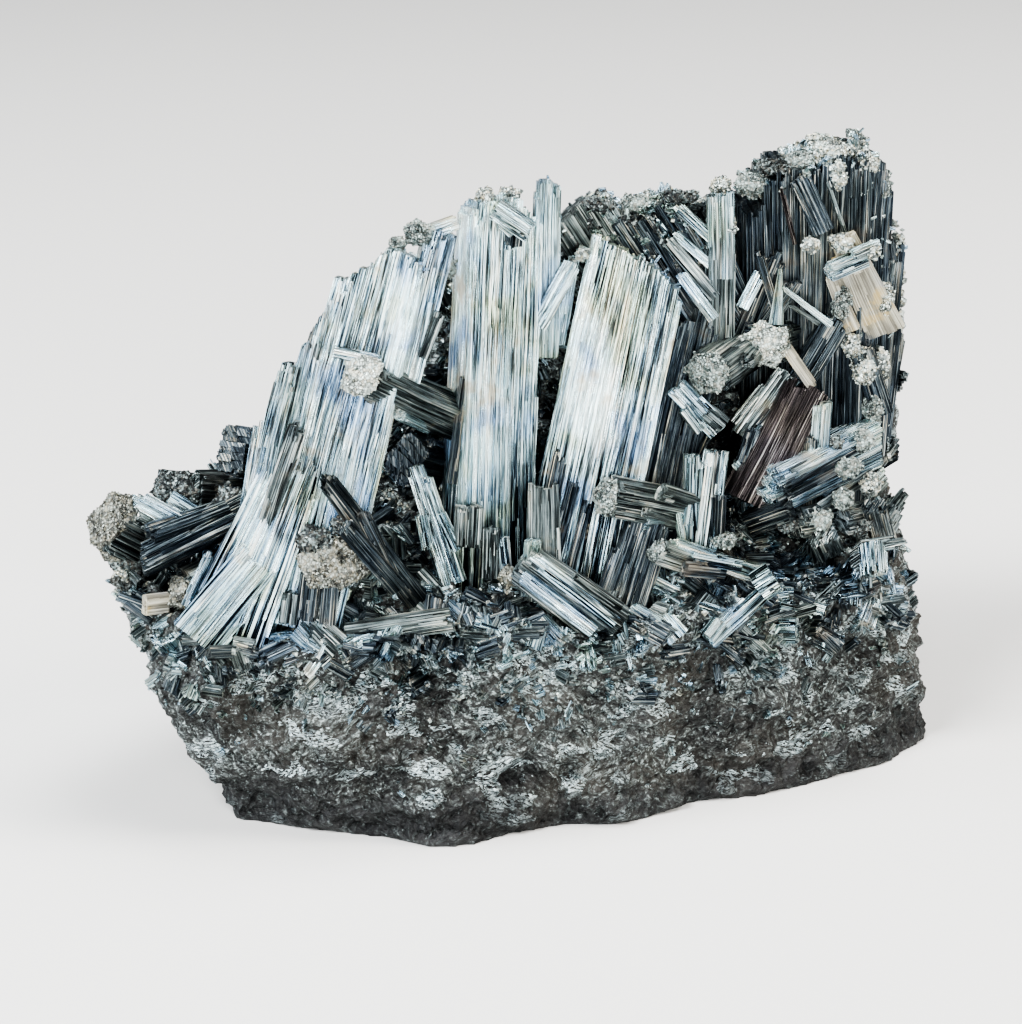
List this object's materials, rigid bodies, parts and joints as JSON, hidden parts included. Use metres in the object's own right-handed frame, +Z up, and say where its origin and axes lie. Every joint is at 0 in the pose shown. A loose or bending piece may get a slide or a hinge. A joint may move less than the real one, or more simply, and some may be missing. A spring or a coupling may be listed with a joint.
{
  "type": "manganite specimen",
  "caption": "Manganite crystal specimen: striated dark silvery prisms standing in a vug of massive grey-brown matrix, on a flat trimmed base.",
  "frame": {"origin": "middle of the bounding box at the flat trimmed base", "axes": "+Z up out of the flat base, -Y towards the side the vug opens to, +X along the long side of the rock towards its tall end"},
  "size_m": [0.1188, 0.0606, 0.0871],
  "materials": {
    "rock": "rough",
    "dark": "satin",
    "bright": "gloss",
    "crust": "rough",
    "brown": "satin",
    "tan": "satin"
  },
  "bodies": {
    "root": {"matrix_rock": "rock", "left_blade_crystal": "bright", "centre_prism_crystal": "bright", "right_blade_crystal": "bright", "dark_prism_crystal": "dark", "tall_end_crystals": "dark", "upright_lath_crystal": "bright", "tan_plate_crystal": "tan", "ridge_crystals": "dark", "left_stub_crystal": "crust", "left_grain_crystal": "crust", "left_ribbed_crystal": "dark", "left_round_crystal": "crust", "left_long_crystal": "dark", "left_low_crystal": "crust", "leaning_crystal": "dark", "inner_bright_crystal": "bright", "inner_ribbed_crystal": "dark", "rim_lath_crystal": "crust", "fan_crystal": "bright", "plate_crystal": "crust", "pocket_left_head": "crust", "pocket_lath_crystal": "bright", "brown_plate_crystal": "brown", "pocket_white_crystal": "bright", "twin_lath_crystals": "bright", "ribbed_bundle_crystal": "bright", "hooked_crystal": "crust", "under_hook_crystal": "dark", "long_lath_crystal": "bright", "low_lath_crystal": "bright"}
  },
  "joints": []
}
